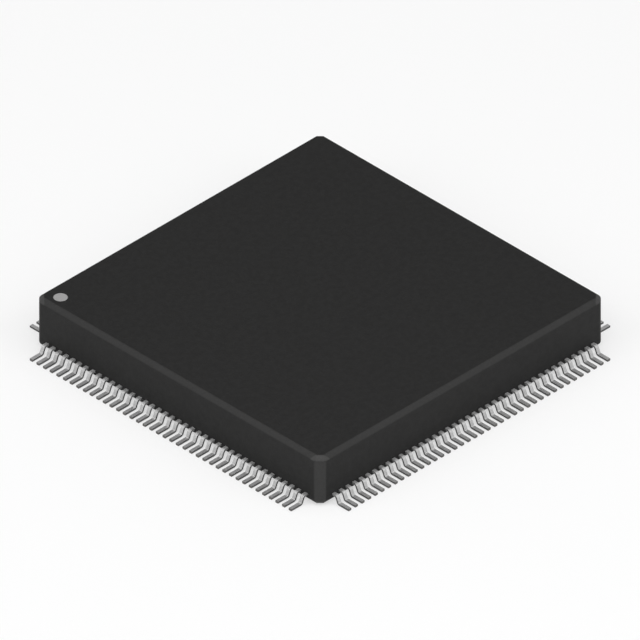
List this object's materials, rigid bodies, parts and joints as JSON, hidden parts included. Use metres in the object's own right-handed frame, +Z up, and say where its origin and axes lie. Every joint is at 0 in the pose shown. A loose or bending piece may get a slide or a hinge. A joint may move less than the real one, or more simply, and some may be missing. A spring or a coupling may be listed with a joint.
{
  "type": "quad flat pack chip",
  "caption": "Square black plastic chip package with a row of small gull-wing leads along each of its four sides and a pin one dot at one corner.",
  "frame": {"origin": "middle of the package, on the plane that the feet of the leads stand on", "axes": "+Z up out of the marked face; pin one is at the -X +Y corner, and the pins run counter-clockwise seen from above: -X side, -Y side, +X side, +Y side"},
  "size_m": [0.0312, 0.0312, 0.0041],
  "materials": {
    "mould_compound": "matte black epoxy mould compound",
    "tinned_lead": "satin tin plating over copper",
    "marking_ink": "flat light grey ink",
    "lead_frame_copper": "bare rolled copper",
    "silver_epoxy": "silver filled adhesive",
    "silicon": "polished silicon",
    "amber_tape": "clear amber film",
    "gold_wire": "bright gold"
  },
  "bodies": {
    "root": {"mould_body": "mould_compound", "pin_one_dot": "marking_ink", "die_paddle": "lead_frame_copper", "die_attach": "silver_epoxy", "silicon_die": "silicon", "lead_tape": "amber_tape", "west_leads_1": "tinned_lead", "west_leads_2": "tinned_lead", "west_leads_3": "tinned_lead", "west_leads_4": "tinned_lead", "south_leads_1": "tinned_lead", "south_leads_2": "tinned_lead", "south_leads_3": "tinned_lead", "south_leads_4": "tinned_lead", "east_leads_1": "tinned_lead", "east_leads_2": "tinned_lead", "east_leads_3": "tinned_lead", "east_leads_4": "tinned_lead", "north_leads_1": "tinned_lead", "north_leads_2": "tinned_lead", "north_leads_3": "tinned_lead", "north_leads_4": "tinned_lead", "west_wires_1": "gold_wire", "west_wires_2": "gold_wire", "west_wires_3": "gold_wire", "west_wires_4": "gold_wire", "south_wires_1": "gold_wire", "south_wires_2": "gold_wire", "south_wires_3": "gold_wire", "south_wires_4": "gold_wire", "east_wires_1": "gold_wire", "east_wires_2": "gold_wire", "east_wires_3": "gold_wire", "east_wires_4": "gold_wire", "north_wires_1": "gold_wire", "north_wires_2": "gold_wire", "north_wires_3": "gold_wire", "north_wires_4": "gold_wire"}
  },
  "joints": []
}
